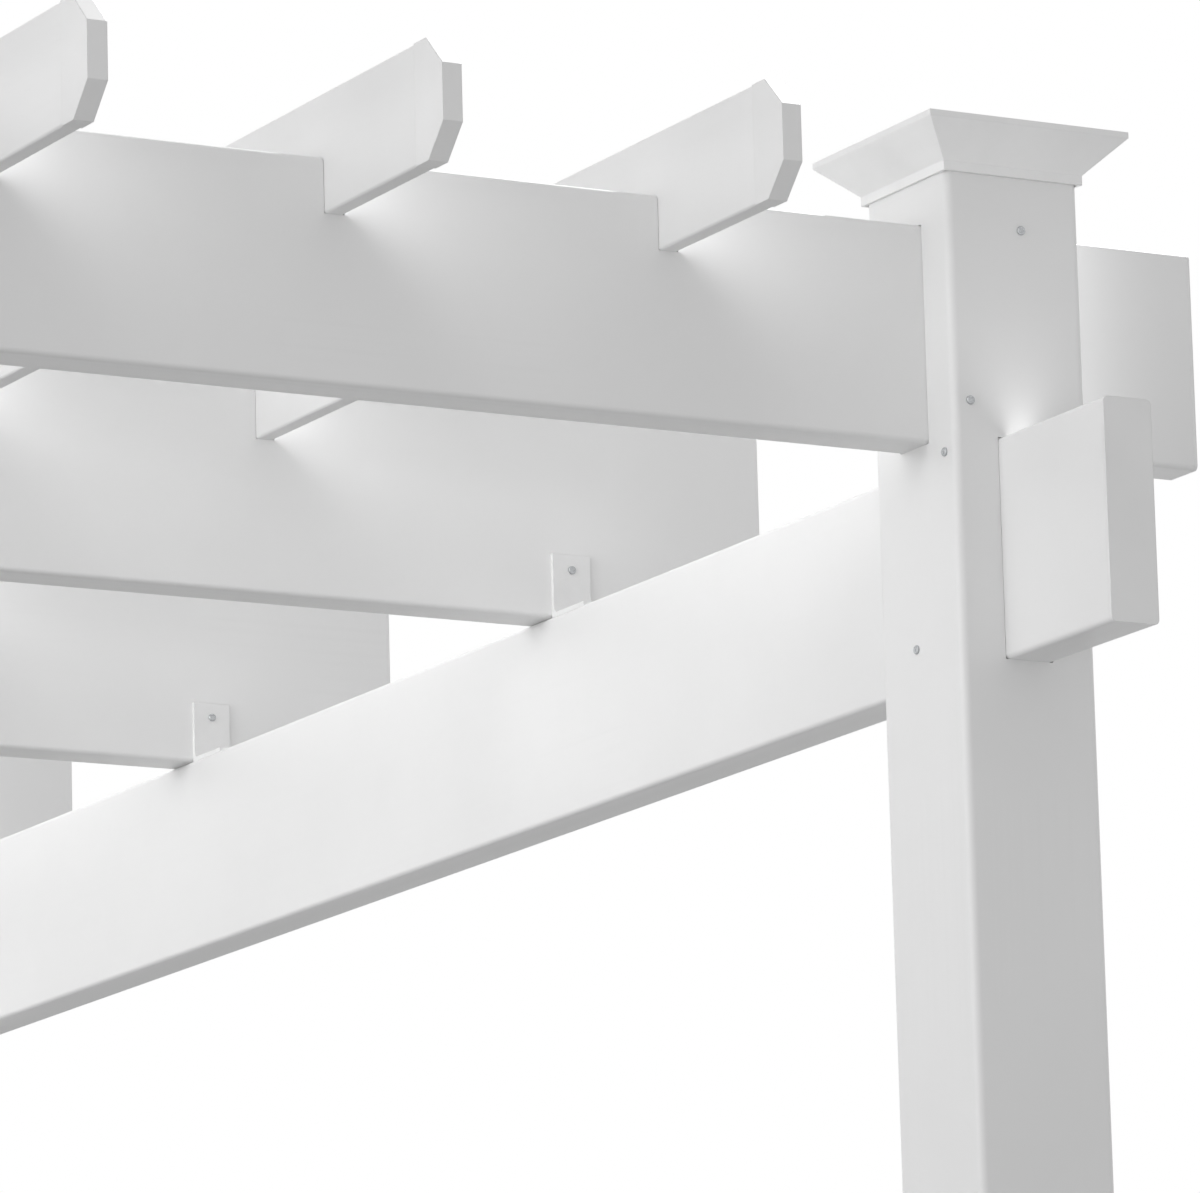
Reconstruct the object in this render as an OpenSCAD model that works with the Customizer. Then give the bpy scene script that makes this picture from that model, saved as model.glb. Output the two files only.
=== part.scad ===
// Free-standing pergola of hollow white vinyl extrusions: four routed posts, two side
// beams, notched rafters, dog-eared purlins, flared post caps and corner brackets.
// X runs along the rafters, Y along the side beams and purlins, Z up from the ground.

/* [Plan] */
// Distance between post centres along the rafters
post_span_x = 3020; // [2400:10:3600]
// Distance between post centres along the side beams
post_span_y = 2900; // [2400:10:3600]
// Clear height under the side beams
headroom = 2134; // [1900:1:2600]
// Reach of the rafters past the post centres
rafter_reach = 197; // [150:1:400]
// Reach of the side beams and purlins past the post centres
beam_reach = 224; // [180:1:400]
// Number of spaces between rafters, front to back
rafter_bays = 4; // [3:1:6]
// Number of spaces between purlins, from post centre to post centre
purlin_bays = 10; // [6:1:12]

/* [Posts] */
// Width of the square posts
post_w = 127; // [110:0.5:150]
// Wall of the posts
post_wall = 3.8; // [2.5:0.1:6]
// Outer corner radius of the posts
post_corner_r = 6.5; // [6.5:0.5:12]
// Play of the rails in the routed holes, each side
hole_fit = 0.3; // [0.2:0.1:0.9]
// Corner radius of the routed holes, sharper than that of the rails
hole_corner_r = 1; // [0.5:0.5:3]

/* [Rails] */
// Width of the side beams and rafters
rail_w = 44.5; // [38:0.5:50]
// Height of the side beams and rafters
rail_h = 184; // [140:1:200]
// Wall of the side beams and rafters
rail_wall = 2.6; // [2:0.1:4]
// Outer corner radius of the side beams and rafters
rail_corner_r = 4.5; // [4.5:0.5:8]

/* [Purlins] */
// Thickness of the purlins
purlin_t = 17; // [14:0.5:25]
// Height of the purlins
purlin_h = 98; // [80:1:120]
// Wall of the purlins
purlin_wall = 1.8; // [1.2:0.1:2.4]
// Outer corner radius of the purlins
purlin_corner_r = 2.5; // [2.5:0.1:4]
// Depth of the notches that seat the purlins in the rafter tops
notch_depth = 46; // [30:1:60]
// Play of the purlins in the notches, each side
notch_fit = 0.4; // [0.2:0.1:0.8]

/* [End caps] */
// Thickness of the flat end plates of the rails
plate_t = 3; // [2:0.5:5]
// Depth of the plugs inside the rails and purlins
plug_l = 20; // [12:1:40]
// Wall of the plugs
plug_wall = 1.6; // [1.2:0.1:2]
// Play of the plugs, each side
plug_fit = 0.3; // [0.2:0.1:0.5]
// Length of the dog-eared purlin end caps outside the purlins
ear_cap_l = 46; // [36:1:70]
// Corner cut of the dog ears, along and down
ear_cut = 26; // [18:1:32]

/* [Post caps] */
// Width over the top of the flared post caps
cap_top_w = 190; // [165:1:220]
// Clear height between the rafter tops and the post caps
cap_gap = 36; // [20:1:80]
// Height of the straight skirt round the post
cap_skirt_h = 8; // [3:0.5:12]
// Height of the flare
cap_flare_h = 28; // [18:0.5:45]
// Height of the lip over the flare
cap_lip_h = 5; // [4.5:0.5:20]
// Rise of the low pyramid on top
cap_crown_h = 22; // [12:1:45]
// Wall of the post caps
cap_wall = 2.6; // [2:0.1:4]
// Play of the caps on the posts, each side
cap_fit = 0.3; // [0.2:0.1:0.6]

/* [Brackets] */
// Width of the corner brackets along the rafter
bracket_w = 38; // [30:1:44]
// Height of the leg on the rafter face
bracket_h = 58; // [45:1:80]
// Length of the leg on the beam top
bracket_l = 58; // [35:1:70]
// Thickness of the bracket legs
bracket_t = 4; // [2:0.5:5]
// Radius in the inner corner of the brackets
bracket_fillet_r = 5; // [3:0.5:8]
// Distance from the leg ends to the screw holes
bracket_hole_edge = 14; // [8:0.5:16]
// Diameter of the screw holes
bracket_hole_d = 5; // [4:0.5:6]

/* [Hidden] */
$fn = 48;
vinyl = "#f3f3ef";
// Overrun of every cut past the face it leaves
overrun = 5;

rafter_count = rafter_bays + 1;
purlin_count = purlin_bays - 1;
rafter_pitch = post_span_y / rafter_bays;
purlin_pitch = post_span_x / purlin_bays;

rafter_z = headroom + rail_h;
rafter_top = rafter_z + rail_h;
purlin_z = rafter_top - notch_depth;

rafter_l = post_span_x + 2 * (rafter_reach - plate_t);
beam_l = post_span_y + 2 * (beam_reach - plate_t);
purlin_l = post_span_y + 2 * (beam_reach - ear_cap_l);

cap_z = rafter_top + cap_gap;
cap_body_h = cap_skirt_h + cap_flare_h + cap_lip_h;
cap_seat_h = cap_body_h - cap_wall;
cap_socket = post_w / 2 + cap_fit;
post_h = cap_z + cap_seat_h;

// Names of the two sides along X and along Y, from low to high
sides_x = ["left", "right"];
sides_y = ["front", "back"];
signs = [-1, 1];

// Places of the repeated members
function post_x(side) = signs[side] * post_span_x / 2;
function post_y(side) = signs[side] * post_span_y / 2;
function rafter_y(i) = (i - 1) * rafter_pitch - post_span_y / 2;
function purlin_x(i) = i * purlin_pitch - post_span_x / 2;
// Height of the crown's upper surface at half width u, over the cap's lower edge
function crown_z(u) = cap_body_h + cap_crown_h * (1 - 2 * u / cap_top_w);

// Outline shapes and directions

module rounded_rect(w, h, r) {
    square([w - 2 * r, h], center = true);
    square([w, h - 2 * r], center = true);
    for (sx = signs, sy = signs)
        translate([sx * (w / 2 - r), sy * (h / 2 - r)]) circle(r);
}

module tube_section(w, h, wall, r) {
    difference() {
        rounded_rect(w, h, r);
        rounded_rect(w - 2 * wall, h - 2 * wall, r - wall);
    }
}

// Extrudes an upright section along X, with the section's lower edge at z = 0
module along_x(length, h) {
    rotate([90, 0, 90]) linear_extrude(length, center = true) translate([0, h / 2]) children();
}

// Extrudes an upright section along Y, with the section's lower edge at z = 0
module along_y(length, h) {
    rotate([90, 0, 0]) linear_extrude(length, center = true) translate([0, h / 2]) children();
}

// Square solid whose half width at every height follows one side profile
module square_turned(profile) {
    intersection() {
        along_x(2 * cap_top_w, 0) polygon(profile);
        along_y(2 * cap_top_w, 0) polygon(profile);
    }
}

// Mirrors the right half of a profile to close it
function both_sides(half) =
    concat(half, [for (i = [len(half) - 1 : -1 : 0]) [-half[i][0], half[i][1]]]);

// Sub-parts

module post(sx, sy) {
    hole_w = rail_w + 2 * hole_fit;
    hole_h = rail_h + hole_fit;
    through = post_w + 2 * overrun;
    color(vinyl) translate([post_x(sx), post_y(sy), 0]) difference() {
        linear_extrude(post_h) tube_section(post_w, post_w, post_wall, post_corner_r);
        translate([0, 0, headroom])
            along_y(through, hole_h) rounded_rect(hole_w, hole_h, hole_corner_r);
        translate([0, 0, rafter_z])
            along_x(through, hole_h) rounded_rect(hole_w, hole_h, hole_corner_r);
    }
}

module post_cap(sx, sy) {
    outer = both_sides([
        [cap_socket + cap_wall, 0],
        [cap_socket + cap_wall, cap_skirt_h],
        [cap_top_w / 2, cap_skirt_h + cap_flare_h],
        [cap_top_w / 2, cap_body_h],
        [0, cap_body_h + cap_crown_h]
    ]);
    hollow = both_sides([
        [cap_socket, -overrun],
        [cap_socket, cap_skirt_h],
        [cap_top_w / 2 - cap_wall, cap_skirt_h + cap_flare_h],
        [cap_top_w / 2 - cap_wall, cap_seat_h]
    ]);
    bore = post_w / 2 - post_wall;
    crown_hollow = both_sides([
        [bore, cap_skirt_h],
        [bore, crown_z(bore) - cap_wall],
        [0, crown_z(0) - cap_wall]
    ]);
    color(vinyl) translate([post_x(sx), post_y(sy), cap_z]) difference() {
        square_turned(outer);
        square_turned(hollow);
        square_turned(crown_hollow);
    }
}

module beam(sx) {
    color(vinyl) translate([post_x(sx), 0, headroom])
        along_y(beam_l, rail_h) tube_section(rail_w, rail_h, rail_wall, rail_corner_r);
}

module rafter(i) {
    color(vinyl) translate([0, rafter_y(i), rafter_z]) difference() {
        along_x(rafter_l, rail_h) tube_section(rail_w, rail_h, rail_wall, rail_corner_r);
        for (k = [1 : purlin_count])
            translate([purlin_x(k), 0, rail_h - notch_depth])
                along_x(purlin_t + 2 * notch_fit, notch_depth + overrun)
                    square([rail_w + 2 * overrun, notch_depth + overrun], center = true);
    }
}

module purlin(i) {
    color(vinyl) translate([purlin_x(i), 0, purlin_z])
        along_y(purlin_l, purlin_h) tube_section(purlin_t, purlin_h, purlin_wall, purlin_corner_r);
}

// Flat end plate with a hollow plug, plate outwards along +X, inner face at x = 0
module rail_end_cap() {
    plug_inset = 2 * (rail_wall + plug_fit);
    translate([plate_t / 2, 0, 0])
        along_x(plate_t, rail_h) rounded_rect(rail_w, rail_h, rail_corner_r);
    translate([-plug_l / 2, 0, 0]) along_x(plug_l, rail_h)
        tube_section(rail_w - plug_inset, rail_h - plug_inset, plug_wall, rail_corner_r);
}

module rafter_end_caps(sx) {
    color(vinyl) for (i = [1 : rafter_count])
        translate([signs[sx] * rafter_l / 2, rafter_y(i), rafter_z])
            rotate([0, 0, signs[sx] > 0 ? 0 : 180]) rail_end_cap();
}

module beam_end_caps(sx) {
    color(vinyl) for (sy = signs)
        translate([post_x(sx), sy * beam_l / 2, headroom])
            rotate([0, 0, sy * 90]) rail_end_cap();
}

// Side outline of a dog ear with its corners cut, from the purlin end outwards along x
function ear_outline(inset, start) = let (
        low = inset,
        high = purlin_h - inset,
        end = ear_cap_l - inset,
        // Distance that the slanted cut moves along the edges for this inset
        cut = ear_cut - inset * (2 - sqrt(2))
    ) [[start, low], [end - cut, low], [end, low + cut], [end, high - cut], [end - cut, high], [start, high]];

// Dog-eared cap with a hollow plug, ear outwards along +Y, inner face at y = 0
module purlin_end_cap() {
    plug_inset = purlin_wall + plug_fit;
    hollow_inset = plug_inset + plug_wall;
    rotate([90, 0, 90]) difference() {
        union() {
            linear_extrude(purlin_t, center = true) polygon(ear_outline(0, 0));
            linear_extrude(purlin_t - 2 * plug_inset, center = true)
                translate([-plug_l, plug_inset]) square([2 * plug_l, purlin_h - 2 * plug_inset]);
        }
        linear_extrude(purlin_t - 2 * hollow_inset, center = true)
            polygon(ear_outline(hollow_inset, -plug_l - overrun));
    }
}

module purlin_end_caps(sy) {
    color(vinyl) for (i = [1 : purlin_count])
        translate([purlin_x(i), signs[sy] * purlin_l / 2, purlin_z])
            rotate([0, 0, signs[sy] > 0 ? 0 : 180]) purlin_end_cap();
}

// L section of a bracket, with its corner at the origin and its legs along -x and +y
module bracket_section() {
    translate([-bracket_t, 0]) square([bracket_t, bracket_h]);
    translate([-bracket_l, 0]) square([bracket_l, bracket_t]);
    translate([-bracket_t - bracket_fillet_r, bracket_t]) difference() {
        square(bracket_fillet_r);
        translate([0, bracket_fillet_r]) circle(bracket_fillet_r);
    }
}

module bracket(sx, i) {
    through = bracket_t + 2 * overrun;
    color(vinyl) translate([post_x(sx), rafter_y(i) - rail_w / 2, rafter_z]) difference() {
        along_x(bracket_w, 0) bracket_section();
        translate([0, overrun, bracket_h - bracket_hole_edge])
            rotate([90, 0, 0]) cylinder(h = through, d = bracket_hole_d);
        translate([0, bracket_hole_edge - bracket_l, -overrun])
            cylinder(h = through, d = bracket_hole_d);
    }
}

for (sx = [0, 1], sy = [0, 1]) {
    post(sx, sy);
    post_cap(sx, sy);
}
for (sx = [0, 1]) {
    beam(sx);
    beam_end_caps(sx);
    rafter_end_caps(sx);
    for (i = [2 : rafter_bays])
        bracket(sx, i);
}
for (i = [1 : rafter_count])
    rafter(i);
for (i = [1 : purlin_count])
    purlin(i);
for (sy = [0, 1])
    purlin_end_caps(sy);
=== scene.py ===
"""Looks of a white vinyl pergola: the finishes of its pieces, its screws and a plain studio."""

import math

import bpy
import numpy as np
from mathutils import Matrix, Vector


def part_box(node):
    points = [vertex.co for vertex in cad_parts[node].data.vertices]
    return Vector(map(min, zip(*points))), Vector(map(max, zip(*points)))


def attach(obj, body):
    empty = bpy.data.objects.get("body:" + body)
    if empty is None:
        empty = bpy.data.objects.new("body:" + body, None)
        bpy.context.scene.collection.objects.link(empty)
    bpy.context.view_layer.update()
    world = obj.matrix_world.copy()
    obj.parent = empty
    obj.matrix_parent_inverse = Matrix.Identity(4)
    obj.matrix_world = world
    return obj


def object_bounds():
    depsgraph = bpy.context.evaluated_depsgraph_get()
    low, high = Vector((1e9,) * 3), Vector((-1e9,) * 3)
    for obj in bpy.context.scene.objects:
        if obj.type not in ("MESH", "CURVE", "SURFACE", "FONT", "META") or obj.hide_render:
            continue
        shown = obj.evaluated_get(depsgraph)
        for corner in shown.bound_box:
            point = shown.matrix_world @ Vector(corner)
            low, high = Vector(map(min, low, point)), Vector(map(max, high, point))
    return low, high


bl_info = {
    "name": "Vinyl Pergola",
    "version": (1, 0, 0),
    "blender": (4, 5, 0),
    "location": "View3D > Sidebar > Pergola",
    "description": "Finishes the pieces of a vinyl pergola, adds its screws and sets up a studio",
    "category": "Object",
}

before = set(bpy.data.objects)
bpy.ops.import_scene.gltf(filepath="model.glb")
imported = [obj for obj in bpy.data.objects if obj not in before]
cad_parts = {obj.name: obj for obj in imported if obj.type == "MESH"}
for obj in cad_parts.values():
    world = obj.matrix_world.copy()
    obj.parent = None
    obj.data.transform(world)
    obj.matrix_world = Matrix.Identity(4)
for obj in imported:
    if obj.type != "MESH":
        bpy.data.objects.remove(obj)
cad_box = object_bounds()

BODY = "root"
MM = 0.001
X, Y, Z = range(3)
WHITE = (1, 1, 1, 1)
PVC_IOR = 1.53
SENSOR_WIDTH = 36

# Members of each group, from the names of the frame's nodes
POSTS = [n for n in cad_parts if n.endswith("_post")]
POST_CAPS = [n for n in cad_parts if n.endswith("_post_cap")]
BEAMS = [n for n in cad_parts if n.endswith("_beam")]
RAFTERS = [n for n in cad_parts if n.startswith("rafter_")]
PURLINS = [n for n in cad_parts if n.startswith("purlin_")]
END_CAPS = [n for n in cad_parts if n.endswith("_end_caps")]
BRACKETS = [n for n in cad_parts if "_bracket_" in n]


def linear_rgb(code):
    """The linear colour, three numbers, of an sRGB hex value such as #f0f0ee."""
    srgb = np.array([int(code[i : i + 2], 16) for i in (1, 3, 5)]) / 255
    return tuple(np.where(srgb <= 0.04045, srgb / 12.92, ((srgb + 0.055) / 1.055) ** 2.4))


def opaque(colour):
    """A colour property as the four numbers of a colour socket."""
    return (*colour, 1.0)


# Sizes and colours that a user would change


class PergolaFinish(bpy.types.PropertyGroup):
    """Colours and surface patterns of the pieces."""

    vinyl: bpy.props.FloatVectorProperty(
        name="Vinyl",
        description="White of the extruded posts, rails and purlins",
        subtype="COLOR",
        min=0,
        max=1,
        default=linear_rgb("#f1f1f1"),
    )
    vinyl_cloud: bpy.props.FloatVectorProperty(
        name="Cloudy Vinyl",
        description="Slightly greyer white of the clouds in the extruded vinyl",
        subtype="COLOR",
        min=0,
        max=1,
        default=linear_rgb("#e9e9e9"),
    )
    # The post caps' paler white is partly painted light, for the brighter light on their flares
    post_cap: bpy.props.FloatVectorProperty(
        name="Post Caps",
        description="White of the moulded post caps",
        subtype="COLOR",
        min=0,
        max=1,
        default=linear_rgb("#f9f9f9"),
    )
    end_cap: bpy.props.FloatVectorProperty(
        name="End Caps",
        description="White of the moulded end caps",
        subtype="COLOR",
        min=0,
        max=1,
        default=linear_rgb("#f1f1f1"),
    )
    powder: bpy.props.FloatVectorProperty(
        name="Powder Coat",
        description="White of the powder coated brackets",
        subtype="COLOR",
        min=0,
        max=1,
        default=linear_rgb("#f5f5f5"),
    )
    zinc: bpy.props.FloatVectorProperty(
        name="Zinc",
        description="Grey of the zinc plated screws",
        subtype="COLOR",
        min=0,
        max=1,
        default=linear_rgb("#c8cacc"),
    )
    tarnish: bpy.props.FloatVectorProperty(
        name="Tarnish",
        description="Darker grey of the tarnished patches on the screws",
        subtype="COLOR",
        min=0,
        max=1,
        default=linear_rgb("#aaacae"),
    )
    die_line_pitch: bpy.props.FloatProperty(
        name="Die Line Pitch",
        description="Distance between the faint lines that the die leaves along the vinyl",
        unit="LENGTH",
        default=7 * MM,
    )
    cloud_size: bpy.props.FloatProperty(
        name="Cloud Size",
        description="Width of the faint clouds in the vinyl",
        unit="LENGTH",
        default=260 * MM,
    )


class PergolaScrews(bpy.types.PropertyGroup):
    """Sizes and places of the pan head screws."""

    head_diameter: bpy.props.FloatProperty(
        name="Head Diameter",
        description="Diameter of the screw heads",
        unit="LENGTH",
        default=7.5 * MM,
    )
    head_height: bpy.props.FloatProperty(
        name="Head Height",
        description="Height of the screw heads over the face they hold",
        unit="LENGTH",
        default=2.6 * MM,
    )
    edge_offset: bpy.props.FloatProperty(
        name="Edge Offset",
        description="Distance of the outer screw from the middle of a post face",
        unit="LENGTH",
        default=47.5 * MM,
    )
    middle_offset: bpy.props.FloatProperty(
        name="Middle Offset",
        description="Distance of the inner screw from the middle of a post face",
        unit="LENGTH",
        default=6.8 * MM,
    )
    beam_low: bpy.props.FloatProperty(
        name="Low Beam Screw",
        description="Height of the lower beam screw over the beam's underside",
        unit="LENGTH",
        default=17.8 * MM,
    )
    beam_high: bpy.props.FloatProperty(
        name="High Beam Screw",
        description="Height of the upper beam screw over the beam's underside",
        unit="LENGTH",
        default=171.5 * MM,
    )
    rafter_low: bpy.props.FloatProperty(
        name="Low Rafter Screw",
        description="Height of the lower rafter screw over the rafter's underside",
        unit="LENGTH",
        default=28.8 * MM,
    )
    rafter_high: bpy.props.FloatProperty(
        name="High Rafter Screw",
        description="Height of the upper rafter screw over the rafter's underside",
        unit="LENGTH",
        default=176 * MM,
    )
    bracket_edge: bpy.props.FloatProperty(
        name="Bracket Edge",
        description="Distance of the bracket screws from the ends of the bracket's legs",
        unit="LENGTH",
        default=14 * MM,
    )
    bracket_leg: bpy.props.FloatProperty(
        name="Bracket Leg",
        description="Thickness of the bracket's legs under the screw heads",
        unit="LENGTH",
        default=4 * MM,
    )


class PergolaStage(bpy.types.PropertyGroup):
    """Camera, lamps and floor."""

    camera_offset: bpy.props.FloatVectorProperty(
        name="Camera Offset",
        description="Place of the camera from the right front post, at the beam's underside",
        subtype="TRANSLATION",
        unit="LENGTH",
        default=(-3.5902, -5.7936, -1.3624),
    )
    heading: bpy.props.FloatProperty(
        name="Heading",
        description="Direction of view, turned from +Y towards +X",
        subtype="ANGLE",
        default=0.50844,
    )
    pitch: bpy.props.FloatProperty(
        name="Pitch",
        description="Upward tilt of the view",
        subtype="ANGLE",
        default=0.20801,
    )
    roll: bpy.props.FloatProperty(
        name="Roll",
        description="Turn of the picture about the line of view",
        subtype="ANGLE",
        default=-0.02711,
    )
    lens: bpy.props.FloatProperty(
        name="Lens",
        description=f"Focal length in millimetres on a sensor {SENSOR_WIDTH} mm wide",
        unit="CAMERA",
        default=255.16,
    )
    sky: bpy.props.FloatProperty(
        name="Sky",
        description="Strength of the even light from all round",
        default=0.545,
    )
    sun: bpy.props.FloatProperty(
        name="Sun",
        description="Strength of the high lamp behind and to the right",
        default=1.4,
    )
    side_fill: bpy.props.FloatProperty(
        name="Side Fill",
        description="Power of the large soft lamp on the left",
        unit="POWER",
        default=214,
    )
    high_fill: bpy.props.FloatProperty(
        name="High Fill",
        description="Power of the large soft lamp high on the left",
        unit="POWER",
        default=102,
    )
    front_fill: bpy.props.FloatProperty(
        name="Front Fill",
        description="Power of the large soft lamp in front",
        unit="POWER",
        default=14,
    )
    purlin_bounce: bpy.props.FloatProperty(
        name="Purlin Bounce",
        description="Strength of the soft light that comes off the sunny sides of the purlins",
        default=2.45,
    )
    beam_bounce: bpy.props.FloatProperty(
        name="Beam Bounce",
        description="Strength of the soft light that comes off the tops of the side beams",
        default=1.85,
    )
    rafter_bounce: bpy.props.FloatProperty(
        name="Rafter Bounce",
        description="Strength of the soft light that comes off the sunny backs of the rafters",
        default=0.2,
    )
    post_bounce: bpy.props.FloatProperty(
        name="Post Bounce",
        description="Strength of the soft light that comes off the sunny sides of the posts",
        default=1.2,
    )
    bounce_spread: bpy.props.FloatProperty(
        name="Bounce Spread",
        description="Angle over which the soft light off the sunny sides spreads",
        subtype="ANGLE",
        default=math.radians(130),
    )
    floor: bpy.props.FloatVectorProperty(
        name="Floor",
        description="Pale colour of the studio floor",
        subtype="COLOR",
        min=0,
        max=1,
        default=linear_rgb("#e9e9e9"),
    )
    floor_scuff: bpy.props.FloatVectorProperty(
        name="Floor Scuffs",
        description="Paler colour of the faint scuffs on the floor",
        subtype="COLOR",
        min=0,
        max=1,
        default=linear_rgb("#ececec"),
    )
    # The near bounce is darker as painted shade, for the ground that lies in the pergola's shadow
    near_bounce: bpy.props.FloatVectorProperty(
        name="Near Bounce",
        description="Colour that the floor near the object has for the light it throws back",
        subtype="COLOR",
        min=0,
        max=1,
        default=linear_rgb("#707070"),
    )
    far_bounce: bpy.props.FloatVectorProperty(
        name="Far Bounce",
        description="Colour that the floor far out has for the light it throws back",
        subtype="COLOR",
        min=0,
        max=1,
        default=linear_rgb("#cecece"),
    )


# Materials


def add_node(tree, kind, settings=None, inputs=None):
    """Adds a node with its settings, and with its inputs set to values or linked to sockets."""
    node = tree.nodes.new(kind)
    for key, value in (settings or {}).items():
        setattr(node, key, value)
    for key, value in (inputs or {}).items():
        if isinstance(value, bpy.types.NodeSocket):
            tree.links.new(value, node.inputs[key])
        else:
            node.inputs[key].default_value = value
    return node


def new_material(name):
    """An empty node material."""
    material = bpy.data.materials.new(name)
    material.use_nodes = True
    material.node_tree.nodes.clear()
    return material


def extruded_vinyl(name, along, finish):
    """Rigid PVC pulled through a die along one axis."""
    # Extruded vinyl is satin white and a little cloudy. The die leaves faint lines along the
    # length, which are drawn wider than the real ones, under 1 mm, so that they show at all.
    line_length, grain_size = 1800 * MM, 2.2 * MM
    line_depth, grain_depth = 0.2 * MM, 0.08 * MM
    most_cloud, most_streak = 0.55, 0.22
    smoothest, roughest = 0.36, 0.5
    material = new_material(name)
    tree = material.node_tree
    place = add_node(tree, "ShaderNodeTexCoord").outputs["Object"]
    stretch = [1 / finish.die_line_pitch] * 3
    stretch[along] = 1 / line_length
    line_place = add_node(
        tree, "ShaderNodeMapping", inputs={"Vector": place, "Scale": stretch}
    ).outputs["Vector"]
    lines = add_node(
        tree,
        "ShaderNodeTexNoise",
        inputs={"Vector": line_place, "Scale": 1.0, "Detail": 3.0, "Roughness": 0.6},
    ).outputs[0]
    clouds = add_node(
        tree,
        "ShaderNodeTexNoise",
        inputs={"Vector": place, "Scale": 1 / finish.cloud_size, "Detail": 4.0},
    ).outputs[0]
    grain = add_node(
        tree,
        "ShaderNodeTexNoise",
        inputs={"Vector": place, "Scale": 1 / grain_size, "Detail": 2.0},
    ).outputs[0]
    cloudy = add_node(
        tree,
        "ShaderNodeMapRange",
        inputs={"Value": clouds, "From Min": 0.35, "From Max": 0.7, "To Max": most_cloud},
    ).outputs[0]
    streaky = add_node(
        tree,
        "ShaderNodeMapRange",
        inputs={"Value": lines, "From Min": 0.45, "From Max": 0.75, "To Max": most_streak},
    ).outputs[0]
    shade = add_node(
        tree, "ShaderNodeMath", {"operation": "MAXIMUM"}, {0: cloudy, 1: streaky}
    ).outputs[0]
    colour = add_node(
        tree,
        "ShaderNodeMix",
        {"data_type": "RGBA"},
        {0: shade, 6: opaque(finish.vinyl), 7: opaque(finish.vinyl_cloud)},
    ).outputs[2]
    roughness = add_node(
        tree,
        "ShaderNodeMapRange",
        inputs={
            "Value": lines,
            "From Min": 0.3,
            "From Max": 0.7,
            "To Min": smoothest,
            "To Max": roughest,
        },
    ).outputs[0]
    line_bump = add_node(
        tree,
        "ShaderNodeBump",
        inputs={"Height": lines, "Strength": 0.2, "Distance": line_depth},
    ).outputs[0]
    bump = add_node(
        tree,
        "ShaderNodeBump",
        inputs={"Height": grain, "Strength": 0.2, "Distance": grain_depth, "Normal": line_bump},
    ).outputs[0]
    shader = add_node(
        tree,
        "ShaderNodeBsdfPrincipled",
        inputs={"Base Color": colour, "Roughness": roughness, "Normal": bump, "IOR": PVC_IOR},
    )
    add_node(tree, "ShaderNodeOutputMaterial", inputs={"Surface": shader.outputs[0]})
    return material


def moulded_vinyl(name, white, finish):
    """Rigid PVC injected into a polished mould."""
    # Moulded vinyl is smoother than the extrusions, with soft edges and a faint even grain. The
    # post caps get a paler white than the extrusions, partly their own white and partly painted
    # light for the brighter light that falls on their flares.
    cloud_size, grain_size, edge_radius = 90 * MM, 1.8 * MM, 1.2 * MM
    grain_depth, most_cloud = 0.08 * MM, 0.5
    smoothest, roughest = 0.32, 0.42
    material = new_material(name)
    tree = material.node_tree
    place = add_node(tree, "ShaderNodeTexCoord").outputs["Object"]
    clouds = add_node(
        tree,
        "ShaderNodeTexNoise",
        inputs={"Vector": place, "Scale": 1 / cloud_size, "Detail": 4.0},
    ).outputs[0]
    grain = add_node(
        tree,
        "ShaderNodeTexNoise",
        inputs={"Vector": place, "Scale": 1 / grain_size, "Detail": 2.0},
    ).outputs[0]
    shade = add_node(
        tree,
        "ShaderNodeMapRange",
        inputs={"Value": clouds, "From Min": 0.35, "From Max": 0.7, "To Max": most_cloud},
    ).outputs[0]
    colour = add_node(
        tree,
        "ShaderNodeMix",
        {"data_type": "RGBA"},
        {0: shade, 6: opaque(white), 7: opaque(finish.vinyl_cloud)},
    ).outputs[2]
    roughness = add_node(
        tree,
        "ShaderNodeMapRange",
        inputs={
            "Value": clouds,
            "From Min": 0.3,
            "From Max": 0.7,
            "To Min": smoothest,
            "To Max": roughest,
        },
    ).outputs[0]
    soft_edge = add_node(
        tree, "ShaderNodeBevel", {"samples": 6}, {"Radius": edge_radius}
    ).outputs[0]
    bump = add_node(
        tree,
        "ShaderNodeBump",
        inputs={"Height": grain, "Strength": 0.15, "Distance": grain_depth, "Normal": soft_edge},
    ).outputs[0]
    shader = add_node(
        tree,
        "ShaderNodeBsdfPrincipled",
        inputs={"Base Color": colour, "Roughness": roughness, "Normal": bump, "IOR": PVC_IOR},
    )
    add_node(tree, "ShaderNodeOutputMaterial", inputs={"Surface": shader.outputs[0]})
    return material


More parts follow.
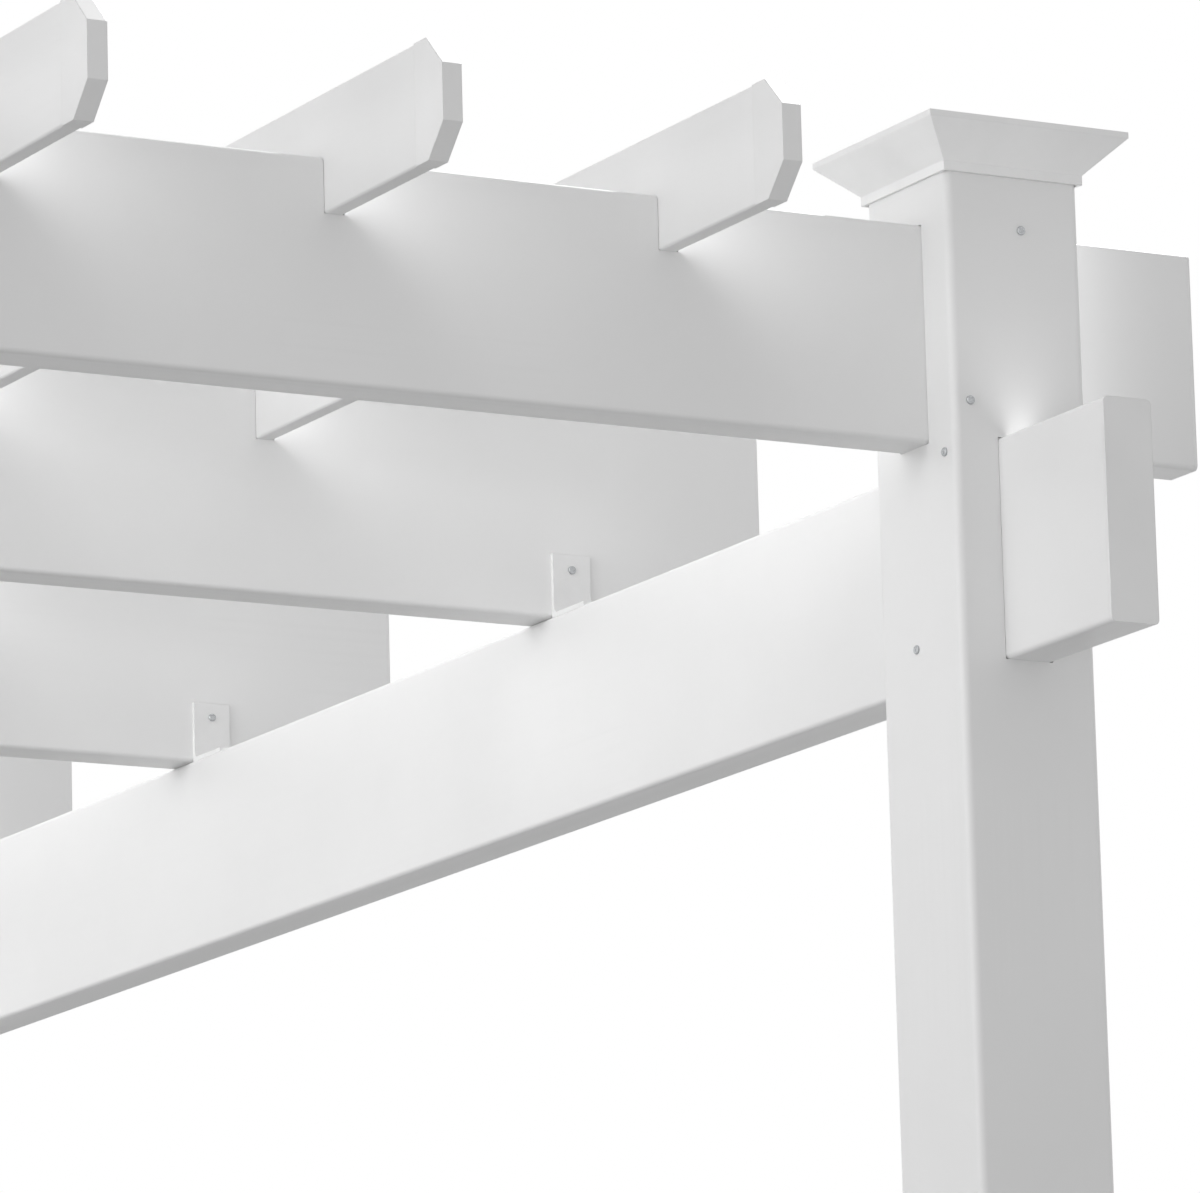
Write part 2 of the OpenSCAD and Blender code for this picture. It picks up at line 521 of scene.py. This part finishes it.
def powder_coated_steel(finish):
    """Bent steel with a baked white powder coat."""
    # Powder coat flows a little as it bakes, which gives an orange peel of shallow dimples.
    peel_size, patch_size, edge_radius = 2 * MM, 25 * MM, 0.8 * MM
    peel_depth = 0.15 * MM
    smoothest, roughest = 0.38, 0.48
    material = new_material("powder_coated_steel")
    tree = material.node_tree
    place = add_node(tree, "ShaderNodeTexCoord").outputs["Object"]
    peel = add_node(
        tree,
        "ShaderNodeTexNoise",
        inputs={"Vector": place, "Scale": 1 / peel_size, "Detail": 1.0},
    ).outputs[0]
    patches = add_node(
        tree,
        "ShaderNodeTexNoise",
        inputs={"Vector": place, "Scale": 1 / patch_size, "Detail": 3.0},
    ).outputs[0]
    colour = add_node(
        tree,
        "ShaderNodeMix",
        {"data_type": "RGBA"},
        {0: patches, 6: opaque(finish.powder), 7: opaque(finish.vinyl_cloud)},
    ).outputs[2]
    roughness = add_node(
        tree,
        "ShaderNodeMapRange",
        inputs={
            "Value": peel,
            "From Min": 0.3,
            "From Max": 0.7,
            "To Min": smoothest,
            "To Max": roughest,
        },
    ).outputs[0]
    soft_edge = add_node(
        tree, "ShaderNodeBevel", {"samples": 6}, {"Radius": edge_radius}
    ).outputs[0]
    bump = add_node(
        tree,
        "ShaderNodeBump",
        inputs={"Height": peel, "Strength": 0.4, "Distance": peel_depth, "Normal": soft_edge},
    ).outputs[0]
    shader = add_node(
        tree,
        "ShaderNodeBsdfPrincipled",
        inputs={"Base Color": colour, "Roughness": roughness, "Normal": bump},
    )
    add_node(tree, "ShaderNodeOutputMaterial", inputs={"Surface": shader.outputs[0]})
    return material


def zinc_plated_steel(finish):
    """Cold headed steel with a thin zinc plating."""
    # Zinc is a dull bluish metal that tarnishes in small patches.
    patch_size = 2.5 * MM
    smoothest, roughest = 0.35, 0.6
    material = new_material("zinc_plated_steel")
    tree = material.node_tree
    place = add_node(tree, "ShaderNodeTexCoord").outputs["Object"]
    tarnish = add_node(
        tree,
        "ShaderNodeTexNoise",
        inputs={"Vector": place, "Scale": 1 / patch_size, "Detail": 3.0},
    ).outputs[0]
    colour = add_node(
        tree,
        "ShaderNodeMix",
        {"data_type": "RGBA"},
        {0: tarnish, 6: opaque(finish.zinc), 7: opaque(finish.tarnish)},
    ).outputs[2]
    roughness = add_node(
        tree,
        "ShaderNodeMapRange",
        inputs={
            "Value": tarnish,
            "From Min": 0.3,
            "From Max": 0.7,
            "To Min": smoothest,
            "To Max": roughest,
        },
    ).outputs[0]
    shader = add_node(
        tree,
        "ShaderNodeBsdfPrincipled",
        inputs={"Base Color": colour, "Roughness": roughness, "Metallic": 1.0},
    )
    add_node(tree, "ShaderNodeOutputMaterial", inputs={"Surface": shader.outputs[0]})
    return material


def dress(nodes, material):
    """Puts a material into every slot of some CAD nodes."""
    if not nodes:
        raise RuntimeError(f"The frame has no nodes to finish in {material.name}")
    for node in nodes:
        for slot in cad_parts[node].material_slots:
            slot.material = material


# Shapes


def pan_heads(places, normals, tangents, diameter, height):
    """Pan head screws with a cross recess, as one set of points and faces.

    A head is a surface of revolution on a grid of rings and steps round. The rings run from the
    pole under the face, out to the rim, up the side and over a quarter ellipse to the top pole.
    The recess lowers the top by a smooth step along two crossed arms. Each head is the same grid
    set on its place, with its own axis along the normal.
    """
    radius = diameter / 2
    sunk = 0.4 * MM
    side = 0.35 * height
    steps, dome_rings = 40, 13
    dome = np.linspace(0, math.pi / 2, dome_rings, endpoint=False)
    ring_r = radius * np.concatenate([[1.0], np.cos(dome)])
    ring_h = np.concatenate([[-sunk], side + (height - side) * np.sin(dome)])
    angle = np.arange(steps) * 2 * math.pi / steps
    across = ring_r[:, None] * np.cos(angle)
    up = ring_r[:, None] * np.sin(angle)
    arm_half, arm_reach, recess = 0.13 * diameter, 0.33 * diameter, 0.45 * height
    blur = 0.0125 * diameter

    def inside(distance, limit):
        """A smooth step from one inside a limit to zero outside it."""
        return 1 / (1 + np.exp((np.abs(distance) - limit) / blur))

    arm_a = inside(across, arm_reach) * inside(up, arm_half)
    arm_b = inside(across, arm_half) * inside(up, arm_reach)
    out = ring_h[:, None] - recess * np.maximum(arm_a, arm_b)
    out[0] = -sunk
    rings = np.stack([across, up, out], axis=-1).reshape(-1, 3)
    poles = np.array([[0, 0, -sunk], [0, 0, height - recess]])
    grid = np.concatenate([rings, poles])

    count = len(ring_r)
    first = np.arange(steps)
    after = (first + 1) % steps
    row = steps * np.arange(count - 1)[:, None]
    walls = np.stack([row + first, row + after, row + steps + after, row + steps + first], -1)
    bottom, top = count * steps, count * steps + 1
    last = steps * (count - 1)
    floor = np.stack([after, first, np.full(steps, bottom)], -1)
    crown = np.stack([last + first, last + after, np.full(steps, top)], -1)

    places, normals, tangents = (np.asarray(a, float) for a in (places, normals, tangents))
    sideways = np.cross(normals, tangents)
    axes = np.stack([tangents, sideways, normals], axis=1)
    points = places[:, None, :] + grid @ axes
    shift = len(grid) * np.arange(len(places))[:, None, None]
    quads = (walls.reshape(1, -1, 4) + shift).reshape(-1, 4)
    fans = (np.concatenate([floor, crown])[None] + shift).reshape(-1, 3)
    return points.reshape(-1, 3), quads.tolist() + fans.tolist()


def add_piece(name, points, faces, material):
    """A mesh object at the origin with smooth faces and one material."""
    mesh = bpy.data.meshes.new(name)
    mesh.from_pydata(points, [], faces)
    mesh.polygons.foreach_set("use_smooth", np.ones(len(mesh.polygons), bool))
    mesh.materials.append(material)
    mesh.update()
    piece = bpy.data.objects.new(name, mesh)
    bpy.context.scene.collection.objects.link(piece)
    return piece


def add_screws(name, places, normals, tangents, heads, material):
    """Screw heads as one piece of the body."""
    piece = add_piece(name, *pan_heads(places, normals, tangents, *heads), material)
    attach(piece, BODY)


# Parts of the stage


def seen_directly(tree):
    """One for rays from the camera, from gloss or through glass, and zero for others."""
    path = add_node(tree, "ShaderNodeLightPath").outputs
    gloss = add_node(
        tree,
        "ShaderNodeMath",
        {"operation": "MAXIMUM"},
        {0: path["Is Glossy Ray"], 1: path["Is Transmission Ray"]},
    ).outputs[0]
    return add_node(
        tree, "ShaderNodeMath", {"operation": "MAXIMUM"}, {0: path["Is Camera Ray"], 1: gloss}
    ).outputs[0]


def add_floor(stage):
    """A flat round floor: a grid of rings and steps round, from the middle to the rim."""
    inner, rim, below, rings, steps = 0.5, 90.0, 0.5 * MM, 24, 96
    radius = np.geomspace(inner, rim, rings)[:, None]
    angle = np.arange(steps) * 2 * math.pi / steps
    level = np.full((rings, steps), -below)
    ring = np.stack([radius * np.cos(angle), radius * np.sin(angle), level], -1)
    points = np.concatenate([ring.reshape(-1, 3), [[0, 0, -below]]])
    first = np.arange(steps)
    after = (first + 1) % steps
    row = steps * np.arange(rings - 1)[:, None]
    bands = np.stack([row + first, row + steps + first, row + steps + after, row + after], -1)
    middle = np.stack([first, after, np.full(steps, rings * steps)], -1)
    faces = bands.reshape(-1, 4).tolist() + middle.tolist()
    add_piece("studio_floor", points, faces, studio_floor(stage))


def studio_floor(stage):
    """Matt painted floor that fades to white far out."""
    # The paint is dead matt. Away from the object it fades to white, and the light that it throws
    # back is that of a greyer floor, so that the undersides stay in shade. Near the object that
    # grey
    # is darker still: painted shadow of the pergola on the ground, seen only by the light it
    # throws back.
    fade_from, fade_to = 3.0, 8.0
    shaded_to, lit_from = 2.2, 4.0
    scuff_size = 400 * MM
    material = new_material("matt_studio_paint")
    tree = material.node_tree
    place = add_node(tree, "ShaderNodeTexCoord").outputs["Object"]
    away = add_node(
        tree, "ShaderNodeVectorMath", {"operation": "LENGTH"}, {0: place}
    ).outputs["Value"]
    fade = add_node(
        tree,
        "ShaderNodeMapRange",
        {"interpolation_type": "SMOOTHSTEP"},
        {"Value": away, "From Min": fade_from, "From Max": fade_to},
    ).outputs[0]
    scuffs = add_node(
        tree,
        "ShaderNodeTexNoise",
        inputs={"Vector": place, "Scale": 1 / scuff_size, "Detail": 3.0},
    ).outputs[0]
    pale = add_node(
        tree,
        "ShaderNodeMix",
        {"data_type": "RGBA"},
        {0: scuffs, 6: opaque(stage.floor), 7: opaque(stage.floor_scuff)},
    ).outputs[2]
    paint = add_node(tree, "ShaderNodeBsdfDiffuse", inputs={"Color": pale}).outputs[0]
    white = add_node(
        tree, "ShaderNodeEmission", inputs={"Color": WHITE, "Strength": 1.0}
    ).outputs[0]
    shown = add_node(tree, "ShaderNodeMixShader", inputs={0: fade, 1: paint, 2: white}).outputs[0]
    # Painted shadow: the floor near the object throws back a darker grey, as if the pergola
    # shaded it
    lit = add_node(
        tree,
        "ShaderNodeMapRange",
        {"interpolation_type": "SMOOTHSTEP"},
        {"Value": away, "From Min": shaded_to, "From Max": lit_from},
    ).outputs[0]
    grey = add_node(
        tree,
        "ShaderNodeMix",
        {"data_type": "RGBA"},
        {0: lit, 6: opaque(stage.near_bounce), 7: opaque(stage.far_bounce)},
    ).outputs[2]
    bounce = add_node(tree, "ShaderNodeBsdfDiffuse", inputs={"Color": grey}).outputs[0]
    shader = add_node(
        tree, "ShaderNodeMixShader", inputs={0: seen_directly(tree), 1: bounce, 2: shown}
    ).outputs[0]
    add_node(tree, "ShaderNodeOutputMaterial", inputs={"Surface": shader})
    return material


def light_world(scene, stage):
    """Even light from all round, which the camera, gloss and glass see as white."""
    world = bpy.data.worlds.new("studio")
    world.use_nodes = True
    tree = world.node_tree
    tree.nodes.clear()
    light = add_node(
        tree, "ShaderNodeBackground", inputs={"Color": WHITE, "Strength": stage.sky}
    ).outputs[0]
    seen = add_node(
        tree, "ShaderNodeBackground", inputs={"Color": WHITE, "Strength": 1.0}
    ).outputs[0]
    shader = add_node(
        tree, "ShaderNodeMixShader", inputs={0: seen_directly(tree), 1: light, 2: seen}
    ).outputs[0]
    add_node(tree, "ShaderNodeOutputWorld", inputs={"Surface": shader})
    scene.world = world


def hang_lamp(light, place, turn):
    """A lamp at a place, with its light, that the camera doesn't see."""
    lamp = bpy.data.objects.new(light.name, light)
    lamp.matrix_world = Matrix.Translation(place) @ turn.to_4x4()
    lamp.visible_camera = False
    bpy.context.scene.collection.objects.link(lamp)


def add_lamp(name, kind, place, target, **settings):
    """A lamp that shines from its place at a target."""
    light = bpy.data.lights.new(name, kind)
    for key, value in settings.items():
        setattr(light, key, value)
    way = Vector(target) - Vector(place)
    hang_lamp(light, place, way.to_track_quat("-Z", "Y").to_matrix())


def add_lamps(stage):
    """A soft sun high behind the right side, and large soft lamps on the left and in front."""
    low, high = cad_box
    middle = (Vector(low) + Vector(high)) / 2
    sun_way, sun_distance, sun_angle = Vector((0.55, 0.45, 0.70)), 10, math.radians(6)
    sun_place = middle + sun_way * sun_distance
    add_lamp("sun", "SUN", sun_place, middle, energy=stage.sun, angle=sun_angle)
    # Place, target and height of each lamp, all of one width
    width = 7
    panels = {
        "side_fill": ((-9, -2, 0.9), (0, 0, 2.3), 1.7),
        "high_fill": ((-9, -2, 5), (0, 0, 2.3), 1.7),
        "front_fill": ((-1, -10, 5), (0, 0, 2), 4),
    }
    for name, (place, target, height) in panels.items():
        add_lamp(
            name,
            "AREA",
            place,
            target,
            energy=getattr(stage, name),
            shape="RECTANGLE",
            size=width,
            size_y=height,
        )


def add_bounce(name, low, high, axis, strength, spread):
    """A soft lamp over the high side of a box along one axis, shining away from it."""
    low, high = np.array(low), np.array(high)
    size = high - low
    across, along = sorted((a for a in (X, Y, Z) if a != axis), key=lambda a: size[a])
    clear_of_face = 1 * MM
    place = (low + high) / 2
    place[axis] = high[axis] + clear_of_face
    light = bpy.data.lights.new(f"{name}_bounce", "AREA")
    light.shape = "RECTANGLE"
    light.size, light.size_y = size[across], size[along]
    light.spread = spread
    light.energy = strength * math.pi * size[across] * size[along]
    shine, lengthways = np.eye(3)[axis], np.eye(3)[along]
    turn = Matrix((np.cross(lengthways, -shine), lengthways, -shine)).transposed()
    hang_lamp(light, place, turn)


def add_bounces(stage):
    """Soft lamps for the light that the sunny sides of the pieces throw on their neighbours."""
    spread = stage.bounce_spread
    rafter_under, rafter_top = (corner.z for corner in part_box(RAFTERS[0]))
    # The purlins' lamps end at the rafters' tops, which would glare beside them
    for purlin in PURLINS:
        low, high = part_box(purlin)
        high.z = rafter_top
        add_bounce(purlin, low, high, X, stage.purlin_bounce, spread)
    # The lamps on the beams are narrower than the brackets, whose edges would glare
    edge = Vector((8 * MM, 0, 0))
    for beam in BEAMS:
        low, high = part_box(beam)
        add_bounce(beam, low + edge, high - edge, Z, stage.beam_bounce, spread)
    for rafter in RAFTERS:
        add_bounce(rafter, *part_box(rafter), Y, stage.rafter_bounce, spread)
    # The lamps on the posts stand beside the rafters' tails
    for post in POSTS:
        low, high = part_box(post)
        low.z, high.z = rafter_under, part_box(f"{post}_cap")[0].z
        add_bounce(post, low, high, X, stage.post_bounce, spread)


def add_camera(scene, stage):
    """A long lens that looks up at the right front corner from outside the front."""
    past_floor = 300
    low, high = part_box("front_right_post")
    axis = (low + high) / 2
    corner = Vector((axis.x, axis.y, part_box("right_beam")[0].z))
    sin_h, cos_h = math.sin(stage.heading), math.cos(stage.heading)
    sin_p, cos_p = math.sin(stage.pitch), math.cos(stage.pitch)
    sin_r, cos_r = math.sin(stage.roll), math.cos(stage.roll)
    forward = Vector((sin_h * cos_p, cos_h * cos_p, sin_p))
    level = Vector((cos_h, -sin_h, 0))
    upright = level.cross(forward)
    right = cos_r * level + sin_r * upright
    up = cos_r * upright - sin_r * level
    lens = bpy.data.cameras.new("camera")
    lens.sensor_fit = "HORIZONTAL"
    lens.sensor_width = SENSOR_WIDTH
    lens.lens = stage.lens
    lens.clip_end = past_floor
    camera = bpy.data.objects.new("camera", lens)
    turn = Matrix((right, up, -forward)).transposed().to_4x4()
    camera.matrix_world = Matrix.Translation(corner + Vector(stage.camera_offset)) @ turn
    scene.collection.objects.link(camera)
    scene.camera = camera


# Operators, one for each group of like pieces and one for the stage


class PERGOLA_OT_posts(bpy.types.Operator):
    """Finish the posts in vinyl extruded upwards"""

    bl_idname = "pergola.posts"
    bl_label = "Finish Posts"

    def execute(self, context):
        dress(POSTS, extruded_vinyl("extruded_vinyl_posts", Z, context.scene.pergola_finish))
        return {"FINISHED"}


class PERGOLA_OT_rails(bpy.types.Operator):
    """Finish the side beams and the rafters in vinyl extruded along their lengths"""

    bl_idname = "pergola.rails"
    bl_label = "Finish Beams and Rafters"

    def execute(self, context):
        finish = context.scene.pergola_finish
        dress(BEAMS, extruded_vinyl("extruded_vinyl_beams", Y, finish))
        dress(RAFTERS, extruded_vinyl("extruded_vinyl_rafters", X, finish))
        return {"FINISHED"}


class PERGOLA_OT_purlins(bpy.types.Operator):
    """Finish the purlins in vinyl extruded along their lengths"""

    bl_idname = "pergola.purlins"
    bl_label = "Finish Purlins"

    def execute(self, context):
        dress(PURLINS, extruded_vinyl("extruded_vinyl_purlins", Y, context.scene.pergola_finish))
        return {"FINISHED"}


class PERGOLA_OT_caps(bpy.types.Operator):
    """Finish the post caps and end caps in moulded vinyl"""

    bl_idname = "pergola.caps"
    bl_label = "Finish Caps"

    def execute(self, context):
        finish = context.scene.pergola_finish
        dress(POST_CAPS, moulded_vinyl("moulded_vinyl_post_caps", finish.post_cap, finish))
        dress(END_CAPS, moulded_vinyl("moulded_vinyl_end_caps", finish.end_cap, finish))
        return {"FINISHED"}


class PERGOLA_OT_brackets(bpy.types.Operator):
    """Finish the corner brackets in white powder coat"""

    bl_idname = "pergola.brackets"
    bl_label = "Finish Brackets"

    def execute(self, context):
        dress(BRACKETS, powder_coated_steel(context.scene.pergola_finish))
        return {"FINISHED"}


class PERGOLA_OT_screws(bpy.types.Operator):
    """Add the screws that hold the rails in the posts and the brackets on the rails"""

    bl_idname = "pergola.screws"
    bl_label = "Add Screws"

    def execute(self, context):
        sizes = context.scene.pergola_screws
        zinc = zinc_plated_steel(context.scene.pergola_finish)
        heads = sizes.head_diameter, sizes.head_height
        beam_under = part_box(BEAMS[0])[0].z
        rafter_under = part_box(RAFTERS[0])[0].z
        # How far the cross recesses are turned, as a cosine and a sine
        cos_turn, sin_turn = 0.8, 0.6
        places, normals, tangents = [], [], []
        for post in POSTS:
            low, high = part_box(post)
            middle = (low + high) / 2
            half = (high.x - low.x) / 2
            side, end = math.copysign(1, middle.x), math.copysign(1, middle.y)
            # Two beam screws on the inner face, two rafter screws on the face at the beam's tail
            inner, outer = middle.x - side * half, middle.y + end * half
            places += [
                (inner, middle.y + end * sizes.edge_offset, beam_under + sizes.beam_high),
                (inner, middle.y - end * sizes.middle_offset, beam_under + sizes.beam_low),
                (middle.x - side * sizes.edge_offset, outer, rafter_under + sizes.rafter_low),
                (middle.x + side * sizes.middle_offset, outer, rafter_under + sizes.rafter_high),
            ]
            normals += [(-side, 0, 0)] * 2 + [(0, end, 0)] * 2
            tangents += [(0, cos_turn, sin_turn)] * 2 + [(cos_turn, 0, sin_turn)] * 2
        add_screws("post_screws", places, normals, tangents, heads, zinc)
        places, normals, tangents = [], [], []
        for bracket in BRACKETS:
            low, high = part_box(bracket)
            middle = (low.x + high.x) / 2
            # One screw into the rafter's face and one into the beam's top
            places += [
                (middle, high.y - sizes.bracket_leg, high.z - sizes.bracket_edge),
                (middle, low.y + sizes.bracket_edge, low.z + sizes.bracket_leg),
            ]
            normals += [(0, -1, 0), (0, 0, 1)]
            tangents += [(sin_turn, 0, cos_turn), (sin_turn, cos_turn, 0)]
        add_screws("bracket_screws", places, normals, tangents, heads, zinc)
        return {"FINISHED"}


class PERGOLA_OT_stage(bpy.types.Operator):
    """Set up the floor, the lamps and the camera"""

    bl_idname = "pergola.stage"
    bl_label = "Set Up Stage"

    def execute(self, context):
        stage = context.scene.pergola_stage
        add_floor(stage)
        light_world(context.scene, stage)
        add_lamps(stage)
        add_bounces(stage)
        add_camera(context.scene, stage)
        context.scene.view_settings.view_transform = "Standard"
        return {"FINISHED"}


# Sidebar and registration


class PERGOLA_PT_sidebar(bpy.types.Panel):
    """Lists the steps that finish the pergola"""

    bl_idname = "PERGOLA_PT_sidebar"
    bl_label = "Pergola"
    bl_space_type = "VIEW_3D"
    bl_region_type = "UI"
    bl_category = "Pergola"

    def draw(self, context):
        for operator in OPERATORS:
            self.layout.operator(operator.bl_idname)
        for group in GROUPS:
            settings = getattr(context.scene, group)
            for name in settings.__annotations__:
                self.layout.prop(settings, name)


GROUPS = {
    "pergola_finish": PergolaFinish,
    "pergola_screws": PergolaScrews,
    "pergola_stage": PergolaStage,
}
OPERATORS = [
    PERGOLA_OT_posts,
    PERGOLA_OT_rails,
    PERGOLA_OT_purlins,
    PERGOLA_OT_caps,
    PERGOLA_OT_brackets,
    PERGOLA_OT_screws,
    PERGOLA_OT_stage,
]


def register():
    """Registers the classes and gives the scene its groups of settings."""
    for cls in [*GROUPS.values(), *OPERATORS, PERGOLA_PT_sidebar]:
        bpy.utils.register_class(cls)
    for name, cls in GROUPS.items():
        setattr(bpy.types.Scene, name, bpy.props.PointerProperty(type=cls))


def unregister():
    """Takes back what register did."""
    for name in GROUPS:
        delattr(bpy.types.Scene, name)
    for cls in reversed([*GROUPS.values(), *OPERATORS, PERGOLA_PT_sidebar]):
        bpy.utils.unregister_class(cls)


def main():
    """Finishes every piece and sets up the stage."""
    register()
    bpy.ops.pergola.posts()
    bpy.ops.pergola.rails()
    bpy.ops.pergola.purlins()
    bpy.ops.pergola.caps()
    bpy.ops.pergola.brackets()
    bpy.ops.pergola.screws()
    bpy.ops.pergola.stage()


if __name__ == "__main__":
    main()
